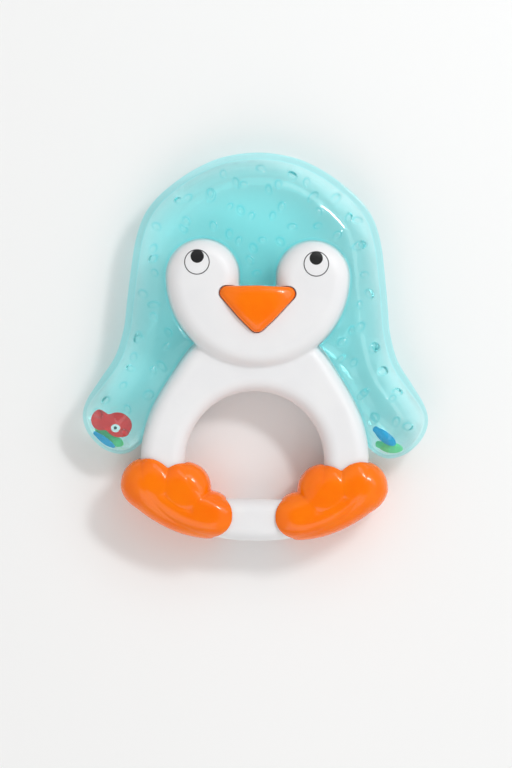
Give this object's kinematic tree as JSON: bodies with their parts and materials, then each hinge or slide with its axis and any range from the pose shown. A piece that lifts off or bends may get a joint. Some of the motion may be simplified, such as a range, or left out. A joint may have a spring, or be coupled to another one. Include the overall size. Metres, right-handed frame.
{
  "type": "water-filled teething ring",
  "caption": "Penguin-shaped baby teether with a clear aqua water pouch for head and flippers, a white gripping ring, an orange beak and orange toe grips clamped round the ring.",
  "frame": {"origin": "under the middle of the toy, on the surface it lies on", "axes": "+X to the picture's right, +Y to the crown of the head, +Z out of the face; the toy lies on its back"},
  "size_m": [0.1004, 0.1128, 0.0227],
  "materials": {
    "white_moulding": "semi-gloss white ABS",
    "orange_moulding": "gloss orange",
    "aqua_film": "clear tinted soft EVA film, gloss with small dimples",
    "aqua_plug": "satin",
    "water": "clear purified water",
    "red_float": "satin",
    "blue_float": "satin",
    "green_float": "satin"
  },
  "bodies": {
    "toy": {"front_shell": "white_moulding", "rear_shell": "white_moulding", "beak": "orange_moulding", "left_foot_front": "orange_moulding", "left_foot_rear": "orange_moulding", "right_foot_front": "orange_moulding", "right_foot_rear": "orange_moulding", "pouch_front_skin": "aqua_film", "pouch_rear_skin": "aqua_film", "fill_plug": "aqua_plug", "water_fill": "water"},
    "red_float": {"red_fish": "red_float"},
    "left_blue_float": {"left_blue_fish": "blue_float"},
    "left_green_float": {"left_green_fish": "green_float"},
    "right_blue_float": {"right_blue_fish": "blue_float"},
    "right_green_float": {"right_green_fish": "green_float"}
  },
  "joints": [
    {"name": "red_drift", "type": "slide", "parent": "toy", "child": "red_float", "axis": [0.43, 0.9028, 0], "range_m": [0, 0.016]},
    {"name": "left_blue_drift", "type": "slide", "parent": "toy", "child": "left_blue_float", "axis": [0.38, 0.925, 0], "range_m": [0, 0.022]},
    {"name": "left_green_drift", "type": "slide", "parent": "toy", "child": "left_green_float", "axis": [0.38, 0.925, 0], "range_m": [0, 0.02]},
    {"name": "right_blue_drift", "type": "slide", "parent": "toy", "child": "right_blue_float", "axis": [-0.38, 0.925, 0], "range_m": [0, 0.022]},
    {"name": "right_green_drift", "type": "slide", "parent": "toy", "child": "right_green_float", "axis": [-0.33, 0.944, 0], "range_m": [0, 0.02]}
  ]
}
